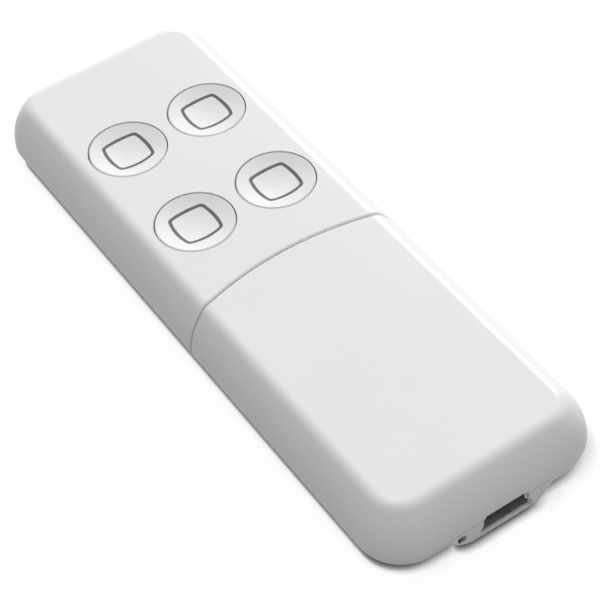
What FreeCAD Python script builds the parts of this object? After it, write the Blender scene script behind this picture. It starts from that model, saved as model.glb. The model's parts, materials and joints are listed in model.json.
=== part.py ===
"""Small white handheld remote control: four round keys, and a slide cover over four set-up keys."""
import FreeCAD, Part
import math
import os
from FreeCAD import Vector

os.makedirs("parts", exist_ok=True)

# Axes: X is the width, Y the length with the four round keys at its far end, Z is up.
# The origin is in the middle of the flat underside. All sizes are in millimetres.

# Outer body
LENGTH = 94.0
WIDTH = 32.0
HEIGHT = 9.5
CORNER_R = 6.4              # corners seen from above
PARTING_Z = 3.1             # line between the bottom case and the mouldings above it
FOOT_R = 3.0                # rounding from the parting line into the flat underside
FOOT_STEP = 0.2             # how far the bottom case stands back under the parting line
CROWN_R = 2.0               # quick curve at the edge of the flat top
CROWN_TURN = 45.0           # degrees that the quick curve turns
FLANK_TURN = 86.0           # slope where the slow curve ends, so the side has 4 degrees of draft
SIDE_HEIGHT = 0.7           # drafted side between the slow curve and the parting line

# Walls
SHELL_WALL = 1.2            # upper case and slide cover
TRAY_WALL = 1.3             # bottom case, side and floor
DECK_TOP_WALL = 1.25
LIP_WALL = 0.6              # tongue of the bottom case inside the upper case
LIP_HEIGHT = 0.7
LIP_FIT = 0.1
BULKHEAD = 1.2              # wall of the upper case behind the seam

# Seam between the upper case and the slide cover: a wide bow that flattens out at the sides
SEAM_SHARE = -0.026         # middle of the seam, as a share of the length
SEAM_BOW_R = 43.4
SEAM_BOW_TURN = 15.4        # degrees that the bow turns on each side of the middle
SEAM_BLEND_R = 17.0
SEAM_GAP = 0.2
SEAM_EDGE_R = 0.3           # rolled edges along the seam

# Slide cover and its rails
COVER_FIT = 0.35            # gap between the cover and the deck under it
COVER_LIFT = 0.12           # gap between the cover's lower edge and the bottom case
COVER_TRAVEL = 19.0
RIB_SETBACK = 1.8           # from the side end of the seam to the rib
RIB_LENGTH = 14.0
RIB_Z = 4.0
RIB_HEIGHT = 0.8
GROOVE_WALL = 0.7           # deck wall left behind a groove
RAIL_FIT = 0.1
RAIL_STOP = 0.3             # play past each end of the rib's travel

# Room inside the deck, under the slide cover
ROOM_SIDE = 3.1             # from the side of the body to the room
ROOM_END = 3.0              # from the near end of the body to the room
ROOM_CORNER_R = 3.2

# Round main keys
MAIN_PITCH_X = 12.4
MAIN_PITCH_Y = 17.2
MAIN_SHARE = 0.185          # middle of the keys, as a share of the length
MAIN_HOLE_R = 5.42
MAIN_FIT = 0.17
MAIN_DISH_DEPTH = 0.75
MAIN_RIM = 0.15             # width of the bevel around the dish
MAIN_FLANGE_R = 5.95
MAIN_FLANGE = 0.55
MAIN_PLUNGER_R = 1.6
MAIN_PLUNGER = 0.5
MAIN_TAB = 1.2              # tab that keeps the key from turning
KEY_CLEAR = 0.15            # gap between a key's flange and the wall above it

# Set-up keys under the slide cover
SETUP_PITCH_X = 10.0
SETUP_PITCH_Y = 7.0
SETUP_SETBACK = 8.4         # from the side end of the seam to the middle of the keys
SETUP_LENGTH = 6.4
SETUP_WIDTH = 3.6
SETUP_FIT = 0.15
SETUP_PROUD = 0.4           # how far a key stands above its panel
SETUP_FLANGE = 0.45
SETUP_FLANGE_LIP = 0.5
SETUP_BEVEL = 0.25
PANEL_HALF_W = 10.4
PANEL_HALF_L = 6.6
PANEL_DEPTH = 0.5
PANEL_CORNER_R = 2.0

# Circuit boards
BOARD = 1.0
BOARD_SIDE = 1.0            # gap between the board and the side of the room
BOARD_END = 3.8             # from the far end of the body to the board
BOARD_CORNER_R = 3.0
CHARGE_BOARD = 0.8
CHARGE_BOARD_SIDE = 0.45    # gap between the board and the nearest post
CHARGE_BOARD_END = 3.3      # from the near end of the body to the board
CHARGE_BOARD_L = 7.5
LINK_LENGTH = 8.0
LINK_WIDTH = 1.2

# Tactile switches
SWITCH_SIDE = 4.5
SWITCH_HEIGHT = 1.4
STEM_R = 0.9
STEM_FIT = 0.06
MAIN_TRAVEL = 0.3
SETUP_SWITCH_SIDE = 3.2
SETUP_SWITCH_HEIGHT = 0.5
SETUP_TRAVEL = 0.2
SETUP_STEM_SHOWN = 0.4      # stem between its switch body and its key
STEM_FLOOR = 0.1            # thickness of switch base under its bore

# Charging port at the near end
PORT_X = 0.75
PORT_FLOOR = 0.6            # moulding left under the receptacle
PORT_FIT = 0.1              # gap between the receptacle and its window
BOSS_X = 0.15
BOSS_HALF_W = 7.9           # at the parting line
BOSS_FOOT_HALF_W = 4.0      # at the underside
BOSS_DEPTH = 4.0
BOSS_BULGE = 0.7            # bow of the boss's flanks
BOSS_FOOT_R = 1.0           # rounding between the flanks and the underside
BOSS_EDGE_R = 0.6           # rounding where the front turns under
SHELL_W = 7.3
SHELL_H = 2.9
SHELL_L = 5.2
SHELL_T = 0.25
SHELL_CHAMFER = 0.5
SHELL_WAIST = 0.45          # how far the upper half is drawn in on each side
SHELL_SETBACK = 0.4         # mouth of the receptacle behind the end face
TONGUE_W = 4.0
TONGUE_T = 0.6
TONGUE_L = 3.6
TONGUE_DROP = 0.35          # gap between the tongue and the roof of the shell
TONGUE_BLOCK = 1.0          # block that closes the back of the shell
CONTACT_W = 0.35
CONTACT_L = 2.3
CONTACT_T = 0.1
CONTACT_PITCH = 0.65
CONTACT_COUNT = 5

# Strap hole beside the port
STRAP_X = -5.6
STRAP_W = 1.3
STRAP_H = 0.65
STRAP_LENGTH = 4.0
STRAP_SLOPE = 50.0          # degrees that the hole slopes down into the body
STRAP_BELOW = 1.0           # centre of the hole below the parting line

# Battery
CELL_HALF_W = 9.5
CELL_SETBACK = 6.0          # from the near edge of the main board to the cell
CELL_L = 36.0
CELL_GAP = 0.3              # between the cell and the board above it
PAD_T = 0.2
PAD_INSET = 2.0
LEAD_L = 7.0
PLUG_X = 6.0
PLUG_W = 4.0
PLUG_L = 3.0
PLUG_H = 1.5
LEAD_R = 0.35
LEAD_PITCH = 1.5

# Small parts on the main board
RADIO_W = 10.0
RADIO_L = 7.0
RADIO_H = 1.1
RADIO_EDGE = 1.0            # from the near edge of the board
CHIP_SIDE = 5.0
CHIP_H = 0.9
LED_W = 1.6
LED_L = 0.8
LED_H = 0.6
LED_SETBACK = 6.5           # from the antenna
CRYSTAL_W = 3.2
CRYSTAL_L = 1.6
CRYSTAL_H = 0.8
CRYSTAL_SETBACK = 6.4       # from the chip
ANTENNA_W = 12.0
ANTENNA_EDGE = 2.2          # from the far edge of the board
ANTENNA_H = 1.8
ANTENNA_T = 0.3
ANTENNA_FOOT = 1.6

# Screws and posts
SCREW_SIDE = 5.8            # from the side of the body to a screw
SCREW_END = 7.4             # from the end of the body to a screw
SCREW_HEAD_R = 1.5
SCREW_HEAD = 0.9
SCREW_R = 0.8
SCREW_SPARE = 0.1           # between the tip of a screw and the wall above it
SCREW_RECESS = 0.3          # head below the underside
CROSS_HALF = 0.8            # cross recess in the head
CROSS_W = 0.4
CROSS_DEPTH = 0.5
HEAD_FIT = 0.2
SHANK_FIT = 0.15
THREAD_FIT = 0.02
POST_R = 2.1
POST_FIT = 0.3
SADDLE_R = 2.6              # boss of the bottom case around each screw
SADDLE_TOP_Z = 2.8
REST_R = 1.0                # pillars that the boards lie on
REST_SIDE = 1.1             # from the side of the board to a pillar
REST_Y = 24.0
CHARGE_REST_SIDE = 2.1      # from the side of the charge board to a pillar
CHARGE_REST_EDGE = 1.4      # from the far edge of the charge board

UP = Vector(0, 0, 1)
OVER = 1.0                  # how far a cut starts outside what it cuts
WELD = 0.3                  # how far a post or pillar runs into what carries it
STRAIGHT_UP = 0.9999        # slope of an edge that counts as upright
END_Y = -LENGTH / 2         # near end face
CROWN = math.radians(CROWN_TURN)
FLANK = math.radians(FLANK_TURN)
FLANK_HEIGHT = HEIGHT - PARTING_Z - SIDE_HEIGHT - CROWN_R * (1 - math.cos(CROWN))
FLANK_R = FLANK_HEIGHT / (math.cos(CROWN) - math.cos(FLANK))
ROOM_HALF_W = WIDTH / 2 - ROOM_SIDE
ROOM_END_Y = END_Y + ROOM_END
GROOVE_X = ROOM_HALF_W + GROOVE_WALL
BOW_TURN = math.radians(SEAM_BOW_TURN)
SEAM_MID_Y = LENGTH * SEAM_SHARE
MAIN_CENTRE_Y = LENGTH * MAIN_SHARE
SEAM_SIDE_Y = SEAM_MID_Y - (SEAM_BOW_R + SEAM_BLEND_R) * (1 - math.cos(BOW_TURN))
RIB_START_Y = SEAM_SIDE_Y - RIB_SETBACK
SETUP_CENTRE_Y = SEAM_SIDE_Y - SETUP_SETBACK

DECK_INSET = SHELL_WALL + COVER_FIT
DECK_TOP_Z = HEIGHT - DECK_INSET
ROOM_TOP_Z = DECK_TOP_Z - DECK_TOP_WALL
PANEL_Z = DECK_TOP_Z - PANEL_DEPTH
MAIN_WALL_Z = HEIGHT - SHELL_WALL
MAIN_FLANGE_TOP = MAIN_WALL_Z - KEY_CLEAR
MAIN_FLANGE_LOW = MAIN_FLANGE_TOP - MAIN_FLANGE
MAIN_PLUNGER_LOW = MAIN_FLANGE_LOW - MAIN_PLUNGER
SETUP_FLANGE_TOP = ROOM_TOP_Z - KEY_CLEAR
SETUP_FLANGE_LOW = SETUP_FLANGE_TOP - SETUP_FLANGE
BOARD_TOP_Z = SETUP_FLANGE_LOW - SETUP_STEM_SHOWN - SETUP_SWITCH_HEIGHT
BOARD_Z = BOARD_TOP_Z - BOARD
SCREW_TIP_Z = ROOM_TOP_Z - SCREW_SPARE

CHARGE_BOARD_HALF_W = WIDTH / 2 - SCREW_SIDE - POST_R - CHARGE_BOARD_SIDE - PORT_X
CHARGE_BOARD_Z = PORT_FLOOR + SHELL_H
CHARGE_BOARD_NEAR_Y = END_Y + CHARGE_BOARD_END
CHARGE_BOARD_FAR_Y = CHARGE_BOARD_NEAR_Y + CHARGE_BOARD_L
BOARD_NEAR_Y = CHARGE_BOARD_FAR_Y + LINK_WIDTH
BOARD_FAR_Y = LENGTH / 2 - BOARD_END
BOARD_HALF_W = ROOM_HALF_W - BOARD_SIDE
MOUTH_Y = END_Y + SHELL_SETBACK
SHELL_BACK_Y = MOUTH_Y + SHELL_L - SHELL_T
TONGUE_Z = PORT_FLOOR + SHELL_H - SHELL_T - TONGUE_DROP - TONGUE_T
CELL_NEAR_Y = BOARD_NEAR_Y + CELL_SETBACK
CELL_FAR_Y = CELL_NEAR_Y + CELL_L
CELL_Z = TRAY_WALL + PAD_T
CELL_T = BOARD_Z - CELL_GAP - CELL_Z
PLUG_Y = CELL_FAR_Y + LEAD_L
ANTENNA_Y = BOARD_FAR_Y - ANTENNA_EDGE


def box(x0, x1, y0, y1, z0, z1):
    """Box between two corners."""
    return Part.makeBox(x1 - x0, y1 - y0, z1 - z0, Vector(x0, y0, z0))


def rounded_box(x0, x1, y0, y1, z0, z1, radius):
    """Box with its upright edges rounded."""
    body = box(x0, x1, y0, y1, z0, z1)
    upright = [e for e in body.Edges if abs(e.tangentAt(e.FirstParameter).z) > 0.9]
    return body.makeFillet(radius, upright)


def cylinder(x, y, z0, z1, radius):
    """Upright cylinder."""
    return Part.makeCylinder(radius, z1 - z0, Vector(x, y, z0), UP)


def fuse(shapes):
    """One solid from several that touch."""
    joined = shapes[0]
    for shape in shapes[1:]:
        joined = joined.fuse(shape)
    return joined.removeSplitter()


def group(shapes):
    """Separate solids that share one node."""
    return Part.makeCompound(shapes)


def point(x, z):
    """Point of a section, which lies in the XZ plane."""
    return Vector(x, 0, z)


def on_circle(centre, radius, turn):
    """Point of a section's arc, where turn is its slope in degrees from the flat top."""
    angle = math.radians(turn)
    return centre + point(radius * math.sin(angle), radius * math.cos(angle))


def section_arc(centre, radius, start, end):
    """Arc of a section between two slopes, in degrees."""
    stops = [on_circle(centre, radius, turn) for turn in (start, (start + end) / 2, end)]
    return Part.Arc(*stops).toShape()


def section_face(edges):
    """Face between a section's outer edges and the upright line x = 0."""
    first = edges[0].Vertexes[0].Point
    last = edges[-1].Vertexes[-1].Point
    closing = [Part.LineSegment(last, point(0, last.z)).toShape(),
               Part.LineSegment(point(0, last.z), point(0, first.z)).toShape(),
               Part.LineSegment(point(0, first.z), first).toShape()]
    return Part.Face(Part.Wire(edges + closing))


def top_section(reach, inset, low):
    """Half section of the upper body: flat top, quick curve, slow curve, drafted side."""
    crown_x = CROWN_R * math.sin(CROWN)
    flank_x = FLANK_R * (math.sin(FLANK) - math.sin(CROWN))
    side_x = SIDE_HEIGHT / math.tan(FLANK)
    crown_centre = point(reach - crown_x - flank_x - side_x, HEIGHT - CROWN_R)
    step = CROWN_R - FLANK_R
    flank_centre = crown_centre + point(step * math.sin(CROWN), step * math.cos(CROWN))
    crown_arc = section_arc(crown_centre, CROWN_R - inset, 0, CROWN_TURN)
    flank_arc = section_arc(flank_centre, FLANK_R - inset, CROWN_TURN, FLANK_TURN)
    side_top = on_circle(flank_centre, FLANK_R - inset, FLANK_TURN)
    side_foot = point(side_top.x + (side_top.z - low) / math.tan(FLANK), low)
    return section_face([crown_arc, flank_arc, Part.LineSegment(side_top, side_foot).toShape()])


def foot_section(reach, inset):
    """Half section of the bottom case: short upright side, then a rounding into the underside."""
    centre = point(reach - FOOT_R, FOOT_R)
    side = Part.LineSegment(point(reach - inset, PARTING_Z), point(reach - inset, FOOT_R)).toShape()
    return section_face([side, section_arc(centre, FOOT_R - inset, 90, 180)])


def slab(section):
    """Solid whose edge has one section all the way round the rounded plan of the body."""
    along_x = WIDTH / 2 - CORNER_R
    along_y = LENGTH / 2 - CORNER_R
    side = section(WIDTH / 2).extrude(Vector(0, 2 * along_y, 0))
    side.translate(Vector(0, -along_y, 0))
    end = section(LENGTH / 2).extrude(Vector(0, 2 * along_x, 0))
    end.translate(Vector(0, -along_x, 0))
    parts = []
    for turn in (0, 180):
        parts.append(side.rotated(Vector(), UP, turn))
        parts.append(end.rotated(Vector(), UP, 90 + turn))
    for x in (-along_x, along_x):
        for y in (-along_y, along_y):
            parts.append(section(CORNER_R).revolve(Vector(), UP, 360).translated(Vector(x, y, 0)))
    return fuse(parts)


def top_slab(inset, low=PARTING_Z):
    """Upper body, drawn in by an inset."""
    return slab(lambda reach: top_section(reach, inset, low))


def foot_slab(inset):
    """Lower body, which stands back under the parting line, drawn in by an inset."""
    return slab(lambda reach: foot_section(reach - FOOT_STEP, inset))


def seam_line(shift):
    """Seam from left to right in plan, as tangent edges, shifted along Y."""
    bow_x = SEAM_BOW_R * math.sin(BOW_TURN)
    blend_x = bow_x + SEAM_BLEND_R * math.sin(BOW_TURN)
    half_x = SEAM_BLEND_R * math.sin(BOW_TURN / 2)
    side_y = SEAM_SIDE_Y + shift
    bow_y = SEAM_MID_Y + shift - SEAM_BOW_R * (1 - math.cos(BOW_TURN))
    half_y = side_y + SEAM_BLEND_R * (1 - math.cos(BOW_TURN / 2))
    ends = []
    for side in (-1, 1):
        outer = Vector(side * blend_x, side_y, 0)
        middle = Vector(side * (blend_x - half_x), half_y, 0)
        ends.append((Vector(side * WIDTH, side_y, 0), outer, middle, Vector(side * bow_x, bow_y, 0)))
    left, right = ends
    return [Part.LineSegment(left[0], left[1]).toShape(),
            Part.Arc(left[1], left[2], left[3]).toShape(),
            Part.Arc(left[3], Vector(0, SEAM_MID_Y + shift, 0), right[3]).toShape(),
            Part.Arc(right[3], right[2], right[1]).toShape(),
            Part.LineSegment(right[1], right[0]).toShape()]


def beyond_seam(shift):
    """Everything on the key side of the seam, with the seam shifted along Y."""
    side = SEAM_SIDE_Y + shift
    around = [Vector(WIDTH, side, 0), Vector(WIDTH, LENGTH, 0), Vector(-WIDTH, LENGTH, 0),
              Vector(-WIDTH, side, 0)]
    rest = [Part.LineSegment(a, b).toShape() for a, b in zip(around, around[1:])]
    face = Part.Face(Part.Wire(seam_line(shift) + rest))
    return face.extrude(UP * (HEIGHT + 2 * OVER)).translated(UP * -OVER)


def rolled(block):
    """Block of one half of the upper body with its edge along the seam rounded."""
    near, far = SEAM_SIDE_Y - SEAM_GAP, SEAM_MID_Y + SEAM_GAP
    edges = []
    for edge in block.Edges:
        middle = edge.valueAt((edge.FirstParameter + edge.LastParameter) / 2)
        slope = abs(edge.tangentAt((edge.FirstParameter + edge.LastParameter) / 2).z)
        inside = near <= edge.BoundBox.YMin and edge.BoundBox.YMax <= far
        if inside and middle.z > PARTING_Z + SEAM_EDGE_R and slope < STRAIGHT_UP:
            edges.append(edge)
    return block.makeFillet(SEAM_EDGE_R, edges)


def key_half():
    """Block of the upper case, from its end to the seam."""
    return rolled(top_slab(0).common(beyond_seam(SEAM_GAP / 2)))


def cover_half():
    """Block of the slide cover, from the seam to its end."""
    return rolled(top_slab(0).cut(beyond_seam(-SEAM_GAP / 2)))


def main_places():
    """Centres of the four round keys."""
    return [(sx * MAIN_PITCH_X / 2, MAIN_CENTRE_Y + sy * MAIN_PITCH_Y / 2, sy)
            for sy in (1, -1) for sx in (-1, 1)]


def setup_places():
    """Centres of the four set-up keys."""
    return [(sx * SETUP_PITCH_X / 2, SETUP_CENTRE_Y + sy * SETUP_PITCH_Y / 2)
            for sy in (1, -1) for sx in (-1, 1)]


def screw_places():
    """Centres of the four case screws."""
    x, y = WIDTH / 2 - SCREW_SIDE, LENGTH / 2 - SCREW_END
    return [(sx * x, sy * y) for sy in (1, -1) for sx in (-1, 1)]


def obround(x, y, z0, z1, length, width):
    """Upright prism with straight sides and round ends."""
    half = (length - width) / 2
    ends = [cylinder(x + s * half, y, z0, z1, width / 2) for s in (-1, 1)]
    return fuse([box(x - half, x + half, y - width / 2, y + width / 2, z0, z1)] + ends)


def room(fit, top):
    """Space inside the deck, drawn in by a fit, from the floor of the tray up to a height."""
    half = ROOM_HALF_W - fit
    far = SEAM_MID_Y + BULKHEAD + OVER
    body = box(-half, half, ROOM_END_Y + fit, far, TRAY_WALL, top)
    corners = [e for e in body.Edges
               if abs(e.tangentAt(e.FirstParameter).z) > 0.9 and e.CenterOfMass.y < SEAM_SIDE_Y]
    return body.makeFillet(ROOM_CORNER_R, corners)


def receptacle(inset, y0, y1):
    """Prism with the outline of the receptacle, drawn in by an inset: wider low down than high up."""
    foot = SHELL_W / 2 - inset
    shoulder = foot - SHELL_WAIST
    low, high = PORT_FLOOR + inset, PORT_FLOOR + SHELL_H - inset
    middle = PORT_FLOOR + SHELL_H / 2
    half = [(foot, low), (foot, middle - SHELL_WAIST), (shoulder, middle), (shoulder, high - SHELL_CHAMFER),
            (shoulder - SHELL_CHAMFER, high)]
    corners = half + [(-x, z) for x, z in reversed(half)]
    outline = Part.makePolygon([Vector(PORT_X + x, y0, z) for x, z in corners + corners[:1]])
    return Part.Face(outline).extrude(Vector(0, y1 - y0, 0))


def port_window():
    """Opening in the end wall, around the mouth of the receptacle."""
    return receptacle(-PORT_FIT, END_Y - OVER, MOUTH_Y + SHELL_L + PORT_FIT)


def rails(grow, y0, y1, x_in):
    """Pair of bars along the sides, from x_in outwards, at the rail height."""
    half = RIB_HEIGHT / 2 + grow
    bars = [box(x_in, WIDTH / 2, y0, y1, RIB_Z - half, RIB_Z + half)]
    bars.append(box(-WIDTH / 2, -x_in, y0, y1, RIB_Z - half, RIB_Z + half))
    return bars


def upper_case():
    """Shell of the key end, with the deck that carries the set-up keys and the cover's rails."""
    block = key_half()
    shell = block.cut(top_slab(SHELL_WALL))
    bulkhead = block.cut(beyond_seam(SEAM_GAP / 2 + BULKHEAD))
    deck = top_slab(DECK_INSET).cut(beyond_seam(SEAM_GAP / 2 + BULKHEAD / 2))
    body = fuse([shell, bulkhead, deck]).cut(room(0, ROOM_TOP_Z))
    panel = rounded_box(-PANEL_HALF_W, PANEL_HALF_W, SETUP_CENTRE_Y - PANEL_HALF_L,
                        SETUP_CENTRE_Y + PANEL_HALF_L, PANEL_Z, HEIGHT, PANEL_CORNER_R)
    cuts = [panel, port_clearance()]
    for x, y, _ in main_places():
        cuts.append(cylinder(x, y, MAIN_WALL_Z - OVER, HEIGHT + OVER, MAIN_HOLE_R))
    for x, y in setup_places():
        cuts.append(obround(x, y, ROOM_TOP_Z - OVER, HEIGHT, SETUP_LENGTH + 2 * SETUP_FIT,
                            SETUP_WIDTH + 2 * SETUP_FIT))
    groove_far = RIB_START_Y + RAIL_STOP
    groove_near = RIB_START_Y - RIB_LENGTH - COVER_TRAVEL - RAIL_STOP
    cuts += rails(RAIL_FIT, groove_near, groove_far, GROOVE_X)
    for cut in cuts:
        body = body.cut(cut)
    posts = []
    for x, y in screw_places():
        top = (MAIN_WALL_Z if y > 0 else ROOM_TOP_Z) + WELD
        post = cylinder(x, y, SADDLE_TOP_Z, top, POST_R)
        posts.append(post.cut(cylinder(x, y, 0, ROOM_TOP_Z, SCREW_R + THREAD_FIT)))
    return fuse([body] + posts + guides())


def guides():
    """Pairs of short ribs under the top wall, one pair beside the tab of each round key."""
    ribs = []
    for x, y, side in main_places():
        near = y + side * (MAIN_FLANGE_R + KEY_CLEAR)
        far = near + side * MAIN_TAB
        for sx in (-1, 1):
            inner = x + sx * (MAIN_TAB / 2 + KEY_CLEAR)
            outer = inner + sx * LIP_WALL
            ribs.append(box(min(inner, outer), max(inner, outer), min(near, far), max(near, far),
                            MAIN_FLANGE_LOW, MAIN_WALL_Z + WELD))
    return ribs


def port_clearance():
    """Room around the receptacle where it passes the deck's end wall."""
    half = SHELL_W / 2 + COVER_FIT
    return box(PORT_X - half, PORT_X + half, END_Y, ROOM_END_Y + OVER, 0,
               CHARGE_BOARD_Z + CHARGE_BOARD + COVER_FIT)


def slide_cover():
    """Cover of the set-up keys: shell of the near half, ribs inside its sides, notch at the port."""
    shell = cover_half().cut(top_slab(SHELL_WALL))
    shell = shell.common(box(-WIDTH, WIDTH, -LENGTH, LENGTH, PARTING_Z + COVER_LIFT, HEIGHT + OVER))
    shell = shell.cut(port_window())
    bars = rails(0, RIB_START_Y - RIB_LENGTH, RIB_START_Y, GROOVE_X + RAIL_FIT)
    bars = [bar.common(top_slab(SHELL_WALL / 2)) for bar in bars]
    return fuse([shell] + bars)


def port_boss():
    """Block that fills the rounding of the underside at the port, with bowed flanks."""
    flanks = []
    for side in (1, -1):
        top = Vector(BOSS_X + side * BOSS_HALF_W, END_Y, PARTING_Z)
        foot = Vector(BOSS_X + side * BOSS_FOOT_HALF_W, END_Y, 0)
        outward = Vector((top - foot).z * side, 0, (foot - top).x * side).normalize()
        flanks.append((top, (top + foot) * 0.5 + outward * BOSS_BULGE, foot))
    right, left = flanks
    edges = [Part.Arc(*right).toShape(), Part.LineSegment(right[2], left[2]).toShape(),
             Part.Arc(left[2], left[1], left[0]).toShape(),
             Part.LineSegment(left[0], right[0]).toShape()]
    boss = Part.Face(Part.Wire(edges)).extrude(Vector(0, BOSS_DEPTH, 0))
    foot = [e for e in boss.Edges if e.BoundBox.ZMax < WELD and e.BoundBox.YLength > WELD]
    boss = boss.makeFillet(BOSS_FOOT_R, foot)
    front = [e for e in boss.Edges
             if e.BoundBox.YMax < END_Y + WELD and e.BoundBox.ZMin < PARTING_Z - WELD]
    return boss.makeFillet(BOSS_EDGE_R, front)


def strap_hole():
    """Sloping hole from the end face down into the open under the boss, for a thin strap."""
    hole = obround(STRAP_X, 0, -STRAP_LENGTH, OVER, STRAP_W, STRAP_H)
    hole.rotate(Vector(), Vector(1, 0, 0), 90 - STRAP_SLOPE)
    return hole.translated(Vector(0, END_Y, PARTING_Z - STRAP_BELOW))


def bottom_case():
    """Tray with the port boss, screw saddles, board rests and a tongue for the upper case."""
    body = fuse([foot_slab(0), port_boss()])
    hollow = foot_slab(TRAY_WALL).common(beyond_seam(BULKHEAD))
    body = body.cut(hollow).cut(room(0, PARTING_Z + OVER))
    low = TRAY_WALL - WELD
    saddles = [cylinder(x, y, low, SADDLE_TOP_Z, SADDLE_R) for x, y in screw_places()]
    rest_x = BOARD_HALF_W - REST_SIDE
    rests = [cylinder(sx * rest_x, sy * REST_Y, low, BOARD_Z, REST_R) for sx in (-1, 1) for sy in (-1, 1)]
    y = CHARGE_BOARD_FAR_Y - CHARGE_REST_EDGE
    rest_x = CHARGE_BOARD_HALF_W - CHARGE_REST_SIDE
    rests += [cylinder(PORT_X + sx * rest_x, y, low, CHARGE_BOARD_Z, REST_R) for sx in (-1, 1)]
    body = fuse([body, tongue_ring()] + saddles + rests)
    half = SHELL_W / 2 + PORT_FIT
    pocket = box(PORT_X - half, PORT_X + half, MOUTH_Y + TRAY_WALL, MOUTH_Y + SHELL_L + PORT_FIT,
                 PORT_FLOOR, HEIGHT)
    cuts = [pocket, port_window(), strap_hole()]
    for x, y in screw_places():
        cuts.append(cylinder(x, y, -OVER, SCREW_RECESS + SCREW_HEAD, SCREW_HEAD_R + HEAD_FIT))
        cuts.append(cylinder(x, y, -OVER, HEIGHT, SCREW_R + SHANK_FIT))
    for cut in cuts:
        body = body.cut(cut)
    return body.removeSplitter()


def tongue_ring():
    """Tongue around the key end that locates the upper case."""
    low = PARTING_Z - LIP_HEIGHT
    outer, inner = (top_slab(SHELL_WALL + LIP_FIT + wall, low) for wall in (0, LIP_WALL))
    ring = outer.cut(inner).common(beyond_seam(BULKHEAD + SEAM_GAP + OVER))
    return ring.common(box(-WIDTH, WIDTH, -LENGTH, LENGTH, low, PARTING_Z + LIP_HEIGHT))


def main_button(x, y, side):
    """Round key with a dished top, a flange under the case, a tab and a plunger."""
    radius = MAIN_HOLE_R - MAIN_FIT
    dish_r = radius - MAIN_RIM
    ball = (dish_r ** 2 + MAIN_DISH_DEPTH ** 2) / (2 * MAIN_DISH_DEPTH)
    dish_edge = 180 - math.degrees(math.asin(dish_r / ball))
    dish = section_arc(point(0, HEIGHT - MAIN_DISH_DEPTH + ball), ball, 180, dish_edge)
    path = [(dish_r, HEIGHT), (radius, HEIGHT - MAIN_RIM), (radius, MAIN_FLANGE_TOP),
            (MAIN_FLANGE_R, MAIN_FLANGE_TOP), (MAIN_FLANGE_R, MAIN_FLANGE_LOW),
            (MAIN_PLUNGER_R, MAIN_FLANGE_LOW), (MAIN_PLUNGER_R, MAIN_PLUNGER_LOW),
            (0, MAIN_PLUNGER_LOW), (0, HEIGHT - MAIN_DISH_DEPTH)]
    walls = [Part.LineSegment(point(*a), point(*b)).toShape() for a, b in zip(path, path[1:])]
    key = Part.Face(Part.Wire([dish] + walls)).revolve(Vector(), UP, 360)
    reach = side * (MAIN_FLANGE_R + MAIN_TAB)
    start = side * (MAIN_FLANGE_R - OVER)
    tab = box(-MAIN_TAB / 2, MAIN_TAB / 2, min(start, reach), max(start, reach),
              MAIN_FLANGE_LOW, MAIN_FLANGE_TOP)
    return fuse([key, tab]).translated(Vector(x, y, 0))


def switch_base(x, y, side, height):
    """Square switch body with a bore for its stem."""
    half = side / 2
    base = box(x - half, x + half, y - half, y + half, BOARD_TOP_Z, BOARD_TOP_Z + height)
    bore = cylinder(x, y, BOARD_TOP_Z + STEM_FLOOR, HEIGHT, STEM_R + STEM_FIT)
    return base.cut(bore)


def switch_stem(x, y, top, travel):
    """Stem from just above the floor of its bore, with room to travel, up to the key."""
    return cylinder(x, y, BOARD_TOP_Z + STEM_FLOOR + travel + STEM_FIT, top, STEM_R)


def setup_button(x, y):
    """Small key with round ends, a flange under the deck and a bevelled top."""
    top = PANEL_Z + SETUP_PROUD
    cap = obround(x, y, SETUP_FLANGE_LOW, top, SETUP_LENGTH, SETUP_WIDTH)
    rim = [e for e in cap.Edges if e.BoundBox.ZMin > top - SETUP_BEVEL]
    wide = 2 * SETUP_FLANGE_LIP
    flange = obround(x, y, SETUP_FLANGE_LOW, SETUP_FLANGE_TOP, SETUP_LENGTH + wide, SETUP_WIDTH + wide)
    return fuse([cap.makeChamfer(SETUP_BEVEL, rim), flange])


def main_board():
    """Board that carries all the switches, with holes where the case posts pass."""
    board = rounded_box(-BOARD_HALF_W, BOARD_HALF_W, BOARD_NEAR_Y, BOARD_FAR_Y, BOARD_Z,
                        BOARD_TOP_Z, BOARD_CORNER_R)
    for x, y in screw_places():
        board = board.cut(cylinder(x, y, 0, HEIGHT, POST_R + POST_FIT))
    return board


def charge_board():
    """Small board above the receptacle."""
    return box(PORT_X - CHARGE_BOARD_HALF_W, PORT_X + CHARGE_BOARD_HALF_W, CHARGE_BOARD_NEAR_Y,
               CHARGE_BOARD_FAR_Y, CHARGE_BOARD_Z, CHARGE_BOARD_Z + CHARGE_BOARD)


def board_link():
    """Upright connector between the edges of the two boards."""
    return box(PORT_X - LINK_LENGTH / 2, PORT_X + LINK_LENGTH / 2, CHARGE_BOARD_FAR_Y, BOARD_NEAR_Y,
               CHARGE_BOARD_Z, BOARD_TOP_Z)


def usb_shell():
    """Folded metal shell of the receptacle, closed at the back."""
    outer = receptacle(0, MOUTH_Y, MOUTH_Y + SHELL_L)
    return outer.cut(receptacle(SHELL_T, MOUTH_Y, SHELL_BACK_Y))


def usb_tongue():
    """Plastic tongue inside the receptacle, with its block at the back."""
    blade = box(PORT_X - TONGUE_W / 2, PORT_X + TONGUE_W / 2, SHELL_BACK_Y - TONGUE_L, SHELL_BACK_Y,
                TONGUE_Z, TONGUE_Z + TONGUE_T)
    half = SHELL_W / 2 - SHELL_T - SHELL_WAIST - SHELL_CHAMFER
    block = box(PORT_X - half, PORT_X + half, SHELL_BACK_Y - TONGUE_BLOCK, SHELL_BACK_Y,
                PORT_FLOOR + SHELL_T, PORT_FLOOR + SHELL_H - SHELL_T)
    return fuse([blade, block])


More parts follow.
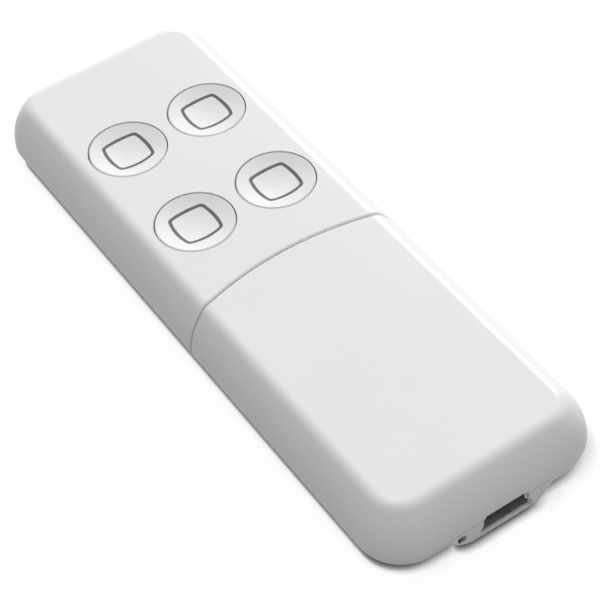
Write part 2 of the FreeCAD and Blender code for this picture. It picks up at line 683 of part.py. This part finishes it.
def usb_contacts():
    """Gold strips on the underside of the tongue."""
    back = SHELL_BACK_Y - TONGUE_BLOCK
    first = PORT_X - CONTACT_PITCH * (CONTACT_COUNT - 1) / 2
    strips = []
    for i in range(CONTACT_COUNT):
        x = first + i * CONTACT_PITCH
        strips.append(box(x - CONTACT_W / 2, x + CONTACT_W / 2, back - CONTACT_L, back,
                          TONGUE_Z - CONTACT_T, TONGUE_Z))
    return group(strips)


def battery_pad():
    """Adhesive foam under the cell."""
    half = CELL_HALF_W - PAD_INSET
    return box(-half, half, CELL_NEAR_Y + PAD_INSET, CELL_FAR_Y - PAD_INSET, TRAY_WALL, CELL_Z)


def battery_cell():
    """Flat rechargeable pouch cell with rounded long edges."""
    cell = box(-CELL_HALF_W, CELL_HALF_W, CELL_NEAR_Y, CELL_FAR_Y, CELL_Z, CELL_Z + CELL_T)
    long_edges = [e for e in cell.Edges if abs(e.tangentAt(e.FirstParameter).y) > 0.9]
    return cell.makeFillet(CELL_T / 3, long_edges)


def battery_plug():
    """Connector of the battery leads, under the main board."""
    return box(PLUG_X - PLUG_W / 2, PLUG_X + PLUG_W / 2, PLUG_Y, PLUG_Y + PLUG_L, BOARD_Z - PLUG_H, BOARD_Z)


def battery_leads():
    """Two short leads from the end of the cell to its plug."""
    z = BOARD_Z - PLUG_H / 2
    starts = [Vector(PLUG_X + side * LEAD_PITCH / 2, CELL_FAR_Y, z) for side in (-1, 1)]
    return group([Part.makeCylinder(LEAD_R, PLUG_Y - CELL_FAR_Y, start, Vector(0, 1, 0)) for start in starts])


def board_block(x, y, width, length, height):
    """Plain component that stands on the main board."""
    return box(x - width / 2, x + width / 2, y - length / 2, y + length / 2, BOARD_TOP_Z,
               BOARD_TOP_Z + height)


def antenna():
    """Bent metal strip on the board's far end."""
    half = ANTENNA_W / 2
    foot = box(-half, half, ANTENNA_Y - ANTENNA_FOOT, ANTENNA_Y, BOARD_TOP_Z, BOARD_TOP_Z + ANTENNA_T)
    fin = box(-half, half, ANTENNA_Y - ANTENNA_T, ANTENNA_Y, BOARD_TOP_Z, BOARD_TOP_Z + ANTENNA_H)
    return fuse([foot, fin])


def case_screws():
    """Four self-tapping screws from below."""
    top = SCREW_RECESS + SCREW_HEAD
    screws = []
    for x, y in screw_places():
        head = cylinder(x, y, SCREW_RECESS, top, SCREW_HEAD_R)
        shank = cylinder(x, y, top, SCREW_TIP_Z, SCREW_R)
        screw = fuse([head, shank])
        for half_x, half_y in ((CROSS_HALF, CROSS_W / 2), (CROSS_W / 2, CROSS_HALF)):
            screw = screw.cut(box(x - half_x, x + half_x, y - half_y, y + half_y,
                                  0, SCREW_RECESS + CROSS_DEPTH))
        screws.append(screw)
    return group(screws)


def save(name, shape):
    """Write one sub-part."""
    shape.exportStep("parts/" + name + ".step")
    print(name, len(shape.Solids), "solid", round(shape.Volume, 3), "mm3", "valid", shape.isValid())


def main():
    """Build and write every sub-part."""
    save("upper_case", upper_case())
    save("slide_cover", slide_cover())
    save("bottom_case", bottom_case())
    bases = []
    for number, (x, y, side) in enumerate(main_places(), 1):
        save(f"main_button_{number}", main_button(x, y, side))
        save(f"main_switch_stem_{number}", switch_stem(x, y, MAIN_PLUNGER_LOW, MAIN_TRAVEL))
        bases.append(switch_base(x, y, SWITCH_SIDE, SWITCH_HEIGHT))
    save("main_switch_bases", group(bases))
    bases = []
    for number, (x, y) in enumerate(setup_places(), 1):
        save(f"setup_button_{number}", setup_button(x, y))
        save(f"setup_switch_stem_{number}", switch_stem(x, y, SETUP_FLANGE_LOW, SETUP_TRAVEL))
        bases.append(switch_base(x, y, SETUP_SWITCH_SIDE, SETUP_SWITCH_HEIGHT))
    save("setup_switch_bases", group(bases))
    save("main_board", main_board())
    save("charge_board", charge_board())
    save("board_link", board_link())
    save("usb_shell", usb_shell())
    save("usb_tongue", usb_tongue())
    save("usb_contacts", usb_contacts())
    save("battery_pad", battery_pad())
    save("battery_cell", battery_cell())
    save("battery_plug", battery_plug())
    save("battery_leads", battery_leads())
    save("radio_shield", board_block(0, BOARD_NEAR_Y + RADIO_EDGE + RADIO_L / 2, RADIO_W, RADIO_L, RADIO_H))
    save("control_chip", board_block(0, MAIN_CENTRE_Y, CHIP_SIDE, CHIP_SIDE, CHIP_H))
    save("crystal", board_block(0, MAIN_CENTRE_Y - CRYSTAL_SETBACK, CRYSTAL_W, CRYSTAL_L, CRYSTAL_H))
    save("status_led", board_block(0, ANTENNA_Y - LED_SETBACK, LED_W, LED_L, LED_H))
    save("antenna", antenna())
    save("case_screws", case_screws())


main()
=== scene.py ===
"""Looks of a small white handheld remote control with four round keys and a slide cover."""
import json
import math

import bmesh
import bpy
from mathutils import Matrix, Vector

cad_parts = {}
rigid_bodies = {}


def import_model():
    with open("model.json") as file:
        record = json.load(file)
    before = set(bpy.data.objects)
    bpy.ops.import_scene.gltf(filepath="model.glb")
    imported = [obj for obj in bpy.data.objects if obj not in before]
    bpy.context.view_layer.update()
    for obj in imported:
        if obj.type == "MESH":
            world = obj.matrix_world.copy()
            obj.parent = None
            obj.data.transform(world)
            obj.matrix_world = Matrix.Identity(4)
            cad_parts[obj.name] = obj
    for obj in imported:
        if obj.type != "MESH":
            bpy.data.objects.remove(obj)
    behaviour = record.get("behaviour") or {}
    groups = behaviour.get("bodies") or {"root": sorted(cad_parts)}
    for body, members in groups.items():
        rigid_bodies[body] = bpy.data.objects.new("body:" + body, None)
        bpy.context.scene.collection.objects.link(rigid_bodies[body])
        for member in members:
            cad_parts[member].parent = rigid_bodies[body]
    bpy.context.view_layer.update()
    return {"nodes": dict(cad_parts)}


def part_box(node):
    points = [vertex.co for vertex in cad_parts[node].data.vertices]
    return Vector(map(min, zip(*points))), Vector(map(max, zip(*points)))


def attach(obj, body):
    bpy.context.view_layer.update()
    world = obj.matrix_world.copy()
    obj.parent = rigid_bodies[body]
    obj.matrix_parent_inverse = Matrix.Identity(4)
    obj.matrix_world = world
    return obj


MM = 0.001

# Camera: where it stands, and how it is turned
CAMERA_PLACE = Vector((-81.2, -152.8, 186.8)) * MM
CAMERA_AZIMUTH = math.radians(28.816)
CAMERA_TILT = math.radians(47.568)
CAMERA_ROLL = math.radians(6.674)
CAMERA_LENS = 117.45
CAMERA_SENSOR = 36.0
CAMERA_NEAREST, CAMERA_FARTHEST = 10 * MM, 10

# Light: a large soft lamp low beyond the far right corner, a weak one at the near end, and an even sky
MAIN_LAMP = {"azimuth": 45, "height": 30, "away": 4500, "size": 2800, "power": 175}
FRONT_LAMP = {"azimuth": -90, "height": 12, "away": 1500, "size": 600, "power": 0.7}
SKY_LEVEL = 0.585
FLOOR_HALF = 1500 * MM
FLOOR_CELLS = 8
FLOOR_DROP = 0.03 * MM
FLOOR_SHADE = 0.20          # how light the floor is in the soft light that it throws back
FLOOR_SHADOW = 0.03         # how much of the wide soft shadow the camera sees

# Painted shade on the floor close to the body, dimming the floor's glow by how much the body covers it: a
# thin dark line
# # at the left, a soft band at the near end, and a wider one at the right. Each leans toward the side on
# which the body stands.
PAINTED_FLOOR_SHADES = ({"reach": 0.95, "power": 4.7, "lean": (0.83, -0.49, 0.26)},
                {"reach": 1.25, "power": 0.85, "lean": (0.14, 0.98, 0.13)},
                {"reach": 2.6, "power": 1.0, "lean": (-0.87, -0.41, 0.27)})

# Share of a noise's range that the colours and the roughness of a material are spread over
COLOUR_SPREAD = (0.3, 0.7)
NUMBER_SPREAD = (0.35, 0.65)

# Dish of each round key and the ring printed on it, in millimetres
KEY_COUNT = 4
DISH_DEPTH = 0.75
DISH_RADIUS = 5.10
RING_HALF = 2.8             # from the centre to the middle of a side
RING_BOW = 9.1              # radius of each bowed side
RING_LINE = 0.48
RING_CORNER = 24.0          # the higher, the sharper the corners
RING_STEPS = 96
RING_LIFT = 0.012           # how far its face lies over the dish
RING_SINK = 0.03            # how far its edges reach into the key


def clear_scene():
    """Take out whatever a new file starts with."""
    for found in list(bpy.data.objects):
        bpy.data.objects.remove(found)


def grey(level):
    """Linear colour of an sRGB grey from 0 to 255."""
    share = level / 255
    linear = share / 12.92 if share <= 0.04045 else ((share + 0.055) / 1.055) ** 2.4
    return (linear, linear, linear, 1)


def tint(red, green, blue):
    """Linear colour of an sRGB colour, each part from 0 to 255."""
    return (grey(red)[0], grey(green)[0], grey(blue)[0], 1)


class Look:
    """A material whose colour, roughness and bump come from patterns in the object's own space."""

    def __init__(self, name, metallic=0.0, specular=0.5, coat=0.0, coat_rough=0.03):
        self.material = bpy.data.materials.new(name)
        self.material.use_nodes = True
        self.tree = self.material.node_tree
        self.shader = self.tree.nodes["Principled BSDF"]
        self.shader.inputs["Metallic"].default_value = metallic
        self.shader.inputs["Specular IOR Level"].default_value = specular
        self.shader.inputs["Coat Weight"].default_value = coat
        self.shader.inputs["Coat Roughness"].default_value = coat_rough
        self.place = self.tree.nodes.new("ShaderNodeTexCoord").outputs["Object"]

    def link(self, start, end):
        """Join two sockets."""
        self.tree.links.new(start, end)

    def stretched(self, stretch):
        """Coordinates drawn out along the axes."""
        mapping = self.tree.nodes.new("ShaderNodeMapping")
        mapping.inputs["Scale"].default_value = stretch
        self.link(self.place, mapping.inputs["Vector"])
        return mapping.outputs["Vector"]

    def noise(self, grain, detail=2.0, stretch=None):
        """Noise whose features are about one grain across, in millimetres."""
        node = self.tree.nodes.new("ShaderNodeTexNoise")
        node.inputs["Scale"].default_value = 1 / (grain * MM)
        node.inputs["Detail"].default_value = detail
        self.link(self.stretched(stretch) if stretch else self.place, node.inputs["Vector"])
        return node.outputs["Fac"]

    def weave(self, pitch):
        """Fine square weave, one pitch across, in millimetres."""
        node = self.tree.nodes.new("ShaderNodeTexChecker")
        node.inputs["Scale"].default_value = 1 / (pitch * MM)
        self.link(self.place, node.inputs["Vector"])
        return node.outputs["Fac"]

    def ranged(self, source, low, high):
        """A number from low to high as the source crosses its spread."""
        node = self.tree.nodes.new("ShaderNodeMapRange")
        for socket, value in zip(("From Min", "From Max", "To Min", "To Max"), (*NUMBER_SPREAD, low, high)):
            node.inputs[socket].default_value = value
        self.link(source, node.inputs["Value"])
        return node.outputs["Result"]

    def blended(self, source, dark, light):
        """A colour between two, by the source."""
        ramp = self.tree.nodes.new("ShaderNodeValToRGB")
        for stop, place, colour in zip(ramp.color_ramp.elements, COLOUR_SPREAD, (dark, light)):
            stop.position = place
            stop.color = colour
        self.link(source, ramp.inputs["Fac"])
        return ramp.outputs["Color"]

    def layered(self, below, above, source, share):
        """One colour over another, by up to a share as the source rises."""
        node = self.tree.nodes.new("ShaderNodeMix")
        node.data_type = "RGBA"
        self.link(self.ranged(source, 0, share), node.inputs["Factor"])
        self.link(below, node.inputs["A"])
        self.link(above, node.inputs["B"])
        return node.outputs["Result"]

    def colour(self, socket):
        """Use this colour."""
        self.link(socket, self.shader.inputs["Base Color"])

    def roughness(self, source, low, high):
        """Use a roughness that goes from low to high with the source."""
        self.link(self.ranged(source, low, high), self.shader.inputs["Roughness"])

    def bump(self, source, height, strength):
        """Raise the surface by up to a height, in millimetres."""
        node = self.tree.nodes.new("ShaderNodeBump")
        node.inputs["Distance"].default_value = height * MM
        node.inputs["Strength"].default_value = strength
        self.link(source, node.inputs["Height"])
        self.link(node.outputs["Normal"], self.shader.inputs["Normal"])


def case_plastic():
    """White housing plastic, matt under a weak gloss, with the fine grain of an eroded mould."""
    look = Look("case_white_look", specular=0.03, coat=0.33, coat_rough=0.12)
    cloud = look.noise(14, detail=3)
    speck = look.noise(0.35, detail=2)
    base = look.blended(cloud, grey(229), grey(231))
    look.colour(look.layered(base, look.blended(speck, grey(226), grey(233)), speck, 0.35))
    look.roughness(look.noise(1.5, detail=4), 0.46, 0.52)
    look.bump(look.noise(0.16, detail=3), 0.006, 0.35)
    return look.material


def key_plastic():
    """White key plastic, without the gloss of the housing and with a lower grain."""
    look = Look("key_white_look", specular=0.1)
    look.colour(look.blended(look.noise(3, detail=4), grey(226), grey(231)))
    look.roughness(look.noise(1.2, detail=3), 0.44, 0.52)
    look.bump(look.noise(0.22, detail=2), 0.004, 0.25)
    return look.material


def setup_rubber():
    """Soft light grey keys under the cover."""
    look = Look("setup_grey_look", specular=0.35)
    speck = look.noise(0.2, detail=3)
    look.colour(look.blended(speck, grey(158), grey(170)))
    look.roughness(look.noise(0.8, detail=3), 0.55, 0.70)
    look.bump(speck, 0.012, 0.4)
    return look.material


def stem_plastic():
    """Creamy nylon of the switch stems."""
    look = Look("stem_white_look")
    look.colour(look.blended(look.noise(0.5), tint(222, 220, 210), tint(232, 230, 222)))
    look.roughness(look.noise(0.3), 0.35, 0.5)
    look.bump(look.noise(0.1), 0.004, 0.3)
    return look.material


def board_laminate():
    """Green solder mask over a glass weave, with thin lighter tracks."""
    look = Look("board_look", specular=0.5, coat=0.2)
    weave = look.weave(0.35)
    mask = look.blended(look.noise(6, detail=3), tint(20, 74, 44), tint(28, 92, 56))
    tracks = look.noise(1.6, detail=0, stretch=(1, 0.18, 1))
    look.colour(look.layered(mask, look.blended(weave, tint(34, 108, 66), tint(44, 122, 76)), tracks, 0.6))
    look.roughness(look.noise(0.8), 0.25, 0.4)
    look.bump(weave, 0.004, 0.4)
    return look.material


def black_plastic():
    """Dark grey moulded plastic of chips and the port's tongue."""
    look = Look("black_plastic_look")
    look.colour(look.blended(look.noise(0.6, detail=4), grey(62), grey(74)))
    look.roughness(look.noise(0.3, detail=3), 0.45, 0.6)
    look.bump(look.noise(0.08, detail=3), 0.006, 0.5)
    return look.material


def metal(name, dark, light, low, high, stretch):
    """Bare metal with rolling marks along one axis."""
    look = Look(name, metallic=1.0)
    marks = look.noise(0.25, detail=4, stretch=stretch)
    look.colour(look.blended(marks, dark, light))
    look.roughness(marks, low, high)
    look.bump(marks, 0.003, 0.4)
    return look.material


def foam():
    """Open grey foam of the adhesive pad."""
    look = Look("foam_look", specular=0.2)
    cells = look.noise(0.4, detail=5)
    look.colour(look.blended(cells, grey(96), grey(140)))
    look.roughness(cells, 0.85, 0.95)
    look.bump(cells, 0.06, 0.8)
    return look.material


def cell_foil():
    """Crinkled foil pouch of the cell."""
    look = Look("cell_foil_look", metallic=0.85)
    creases = look.noise(3.5, detail=5)
    look.colour(look.blended(creases, grey(168), grey(196)))
    look.roughness(creases, 0.28, 0.42)
    look.bump(creases, 0.12, 0.6)
    return look.material


def lead_sleeve():
    """Red sleeve of the battery leads."""
    look = Look("lead_red_look")
    look.colour(look.blended(look.noise(0.6), tint(150, 22, 20), tint(172, 32, 28)))
    look.roughness(look.noise(0.4), 0.4, 0.55)
    look.bump(look.noise(0.15), 0.01, 0.3)
    return look.material


def lamp_resin():
    """Clear yellowish resin of the status light."""
    look = Look("led_look")
    look.colour(look.blended(look.noise(0.4), tint(226, 214, 150), tint(238, 230, 178)))
    look.roughness(look.noise(0.3), 0.12, 0.25)
    look.bump(look.noise(0.2), 0.003, 0.2)
    return look.material


def ring_ink():
    """Grey ink of the rings on the keys."""
    look = Look("ring_ink_look", specular=0.1)
    look.colour(look.blended(look.noise(0.25, detail=4), grey(100), grey(112)))
    look.roughness(look.noise(0.3, detail=3), 0.45, 0.6)
    look.bump(look.noise(0.07, detail=2), 0.003, 0.5)
    return look.material


def dress(nodes):
    """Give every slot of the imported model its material."""
    tin = metal("tin_plate_look", grey(176), grey(196), 0.42, 0.52, (1, 0.4, 1))
    gold = metal("gold_look", tint(196, 158, 84), tint(222, 188, 112), 0.2, 0.32, (1, 0.2, 1))
    steel = metal("screw_steel_look", grey(128), grey(160), 0.28, 0.42, (1, 1, 0.3))
    looks = {"case_white": case_plastic(), "key_white": key_plastic(), "setup_grey": setup_rubber(),
             "stem_white": stem_plastic(), "board": board_laminate(), "black_plastic": black_plastic(),
             "tin_plate": tin, "gold": gold, "screw_steel": steel, "foam": foam(),
             "cell_foil": cell_foil(), "plug_white": stem_plastic(), "lead_red": lead_sleeve(),
             "led": lamp_resin()}
    for node in nodes.values():
        for place in node.material_slots:
            place.material = looks[place.material.name]


def ring_reach(turn):
    """Distance from the centre of the ring to the middle of its line."""
    reaches = []
    for quarter in range(4):
        across = math.cos(turn - quarter * math.pi / 2)
        if across <= 0:
            continue
        offset = (RING_HALF - RING_BOW) * across
        reaches.append(offset + math.sqrt(offset ** 2 + RING_BOW ** 2 - (RING_HALF - RING_BOW) ** 2))
    return sum(reach ** -RING_CORNER for reach in reaches) ** (-1 / RING_CORNER)


def dish_height(distance):
    """Height of a key's dish at a distance from its centre, measured from its top rim."""
    ball = (DISH_RADIUS ** 2 + DISH_DEPTH ** 2) / (2 * DISH_DEPTH)
    return ball - DISH_DEPTH - math.sqrt(ball ** 2 - distance ** 2)


def key_centre(number):
    """Centre of a round key at the height of its top rim, in millimetres: in line with its stem."""
    low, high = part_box(f"main_switch_stem_{number}")
    middle = (low + high) / 2
    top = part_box(f"main_button_{number}")[1].z
    return Vector((middle.x, middle.y, top)) / MM


def ring(name, centre, ink):
    """Thin printed ring that follows the dish of a key: a cushion shape with soft corners."""
    shape = bmesh.new()
    loops = []
    for step in range(RING_STEPS):
        turn = 2 * math.pi * step / RING_STEPS
        middle = ring_reach(turn)
        section = []
        for side, lift in ((-1, -RING_SINK), (-1, RING_LIFT), (1, RING_LIFT), (1, -RING_SINK)):
            away = middle + side * RING_LINE / 2
            spot = Vector((away * math.cos(turn), away * math.sin(turn), dish_height(away) + lift))
            section.append(shape.verts.new((centre + spot) * MM))
        loops.append(section)
    for section, after in zip(loops, loops[1:] + loops[:1]):
        for corner in range(len(section)):
            following = (corner + 1) % len(section)
            shape.faces.new((section[corner], after[corner], after[following], section[following]))
    bmesh.ops.recalc_face_normals(shape, faces=shape.faces)
    mesh = bpy.data.meshes.new(name)
    shape.to_mesh(mesh)
    shape.free()
    piece = bpy.data.objects.new(name, mesh)
    bpy.context.scene.collection.objects.link(piece)
    mesh.materials.append(ink)
    return piece


def floor_material():
    """White floor for the camera with a faint share of its real shadow and painted shade close to the body,
    and a greyer one for the light it throws back.
    """
    made = bpy.data.materials.new("floor_look")
    made.use_nodes = True
    tree = made.node_tree
    tree.nodes.remove(tree.nodes["Principled BSDF"])
    glow = tree.nodes.new("ShaderNodeEmission")
    # painted shade close to the body, multiplied into the floor's glow
    level = painted_near_shade(tree, PAINTED_FLOOR_SHADES[0])
    for plan in PAINTED_FLOOR_SHADES[1:]:
        level = multiplied(tree, level, painted_near_shade(tree, plan))
    tree.links.new(level, glow.inputs["Color"])
    glow.inputs["Strength"].default_value = 1 - FLOOR_SHADOW
    both = tree.nodes.new("ShaderNodeAddShader")
    mix = tree.nodes.new("ShaderNodeMixShader")
    tree.links.new(matt(tree, FLOOR_SHADOW), both.inputs[0])
    tree.links.new(glow.outputs["Emission"], both.inputs[1])
    tree.links.new(seen_by_eye(tree), mix.inputs["Fac"])
    tree.links.new(matt(tree, FLOOR_SHADE), mix.inputs[1])
    tree.links.new(both.outputs["Shader"], mix.inputs[2])
    tree.links.new(mix.outputs["Shader"], tree.nodes["Material Output"].inputs["Surface"])
    return made


def matt(tree, level):
    """Plain matt shader of one linear grey."""
    node = tree.nodes.new("ShaderNodeBsdfDiffuse")
    node.inputs["Color"].default_value = (level, level, level, 1)
    return node.outputs["BSDF"]


def painted_near_shade(tree, plan):
    """Painted shade for the floor's glow: 1 on the open floor, less where the body stands close to it on
    the side that the plan leans to.
    """
    lean = tree.nodes.new("ShaderNodeCombineXYZ")
    for axis, share in zip("XYZ", plan["lean"]):
        lean.inputs[axis].default_value = share
    covered = tree.nodes.new("ShaderNodeAmbientOcclusion")
    covered.inputs["Distance"].default_value = plan["reach"] * MM
    tree.links.new(lean.outputs["Vector"], covered.inputs["Normal"])
    fade = tree.nodes.new("ShaderNodeMath")
    fade.operation = "POWER"
    fade.inputs[1].default_value = plan["power"]
    tree.links.new(covered.outputs["AO"], fade.inputs[0])
    return fade.outputs["Value"]


def multiplied(tree, first, second):
    """The product of two numbers."""
    node = tree.nodes.new("ShaderNodeMath")
    node.operation = "MULTIPLY"
    tree.links.new(first, node.inputs[0])
    tree.links.new(second, node.inputs[1])
    return node.outputs["Value"]


def seen_by_eye(tree):
    """1 for camera, glossy and transmission rays, and 0 for the rest."""
    path = tree.nodes.new("ShaderNodeLightPath")
    total = path.outputs["Is Camera Ray"]
    for ray in ("Is Glossy Ray", "Is Transmission Ray"):
        larger = tree.nodes.new("ShaderNodeMath")
        larger.operation = "MAXIMUM"
        tree.links.new(total, larger.inputs[0])
        tree.links.new(path.outputs[ray], larger.inputs[1])
        total = larger.outputs["Value"]
    return total


def add_floor():
    """Flat floor under the remote control."""
    shape = bmesh.new()
    bmesh.ops.create_grid(shape, x_segments=FLOOR_CELLS, y_segments=FLOOR_CELLS, size=FLOOR_HALF)
    mesh = bpy.data.meshes.new("floor")
    shape.to_mesh(mesh)
    shape.free()
    floor = bpy.data.objects.new("floor", mesh)
    floor.location.z = -FLOOR_DROP
    bpy.context.scene.collection.objects.link(floor)
    mesh.materials.append(floor_material())


def add_sky():
    """Even dim light from all round, white where it is seen directly."""
    world = bpy.data.worlds.new("sky")
    world.use_nodes = True
    tree = world.node_tree
    back = tree.nodes["Background"]
    level = tree.nodes.new("ShaderNodeMapRange")
    level.inputs["To Min"].default_value = SKY_LEVEL
    level.inputs["To Max"].default_value = 1.0
    tree.links.new(seen_by_eye(tree), level.inputs["Value"])
    tree.links.new(level.outputs["Result"], back.inputs["Strength"])
    back.inputs["Color"].default_value = (1, 1, 1, 1)
    bpy.context.scene.world = world


def add_lamp(name, plan):
    """Soft round lamp, turned toward the middle of the remote control."""
    lamp = bpy.data.lights.new(name, "AREA")
    lamp.shape = "DISK"
    lamp.size = plan["size"] * MM
    lamp.energy = plan["power"]
    piece = bpy.data.objects.new(name, lamp)
    azimuth, height = math.radians(plan["azimuth"]), math.radians(plan["height"])
    toward = Vector((math.cos(azimuth) * math.cos(height), math.sin(azimuth) * math.cos(height),
                     math.sin(height)))
    piece.location = toward * plan["away"] * MM
    piece.rotation_mode = "QUATERNION"
    piece.rotation_quaternion = toward.to_track_quat("Z", "Y")
    bpy.context.scene.collection.objects.link(piece)


def add_camera():
    """Camera at the viewing angle of the photograph."""
    data = bpy.data.cameras.new("camera")
    data.lens = CAMERA_LENS
    data.sensor_width = CAMERA_SENSOR
    data.clip_start = CAMERA_NEAREST
    data.clip_end = CAMERA_FARTHEST
    ahead = Vector((math.sin(CAMERA_AZIMUTH) * math.cos(CAMERA_TILT),
                    math.cos(CAMERA_AZIMUTH) * math.cos(CAMERA_TILT), -math.sin(CAMERA_TILT)))
    level = ahead.cross(Vector((0, 0, 1))).normalized()
    below = ahead.cross(level)
    right = math.cos(CAMERA_ROLL) * level + math.sin(CAMERA_ROLL) * below
    up = right.cross(ahead)
    turned = Matrix((right, up, -ahead)).transposed().to_4x4()
    camera = bpy.data.objects.new("camera", data)
    camera.matrix_world = Matrix.Translation(CAMERA_PLACE) @ turned
    bpy.context.scene.collection.objects.link(camera)
    bpy.context.scene.camera = camera


clear_scene()
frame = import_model()
dress(frame["nodes"])
ink = ring_ink()
for number in range(1, KEY_COUNT + 1):
    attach(ring(f"key_ring_{number}", key_centre(number), ink), f"main_button_{number}")
add_floor()
add_sky()
add_lamp("main_lamp", MAIN_LAMP)
add_lamp("front_lamp", FRONT_LAMP)
add_camera()
bpy.context.scene.view_settings.view_transform = "Standard"
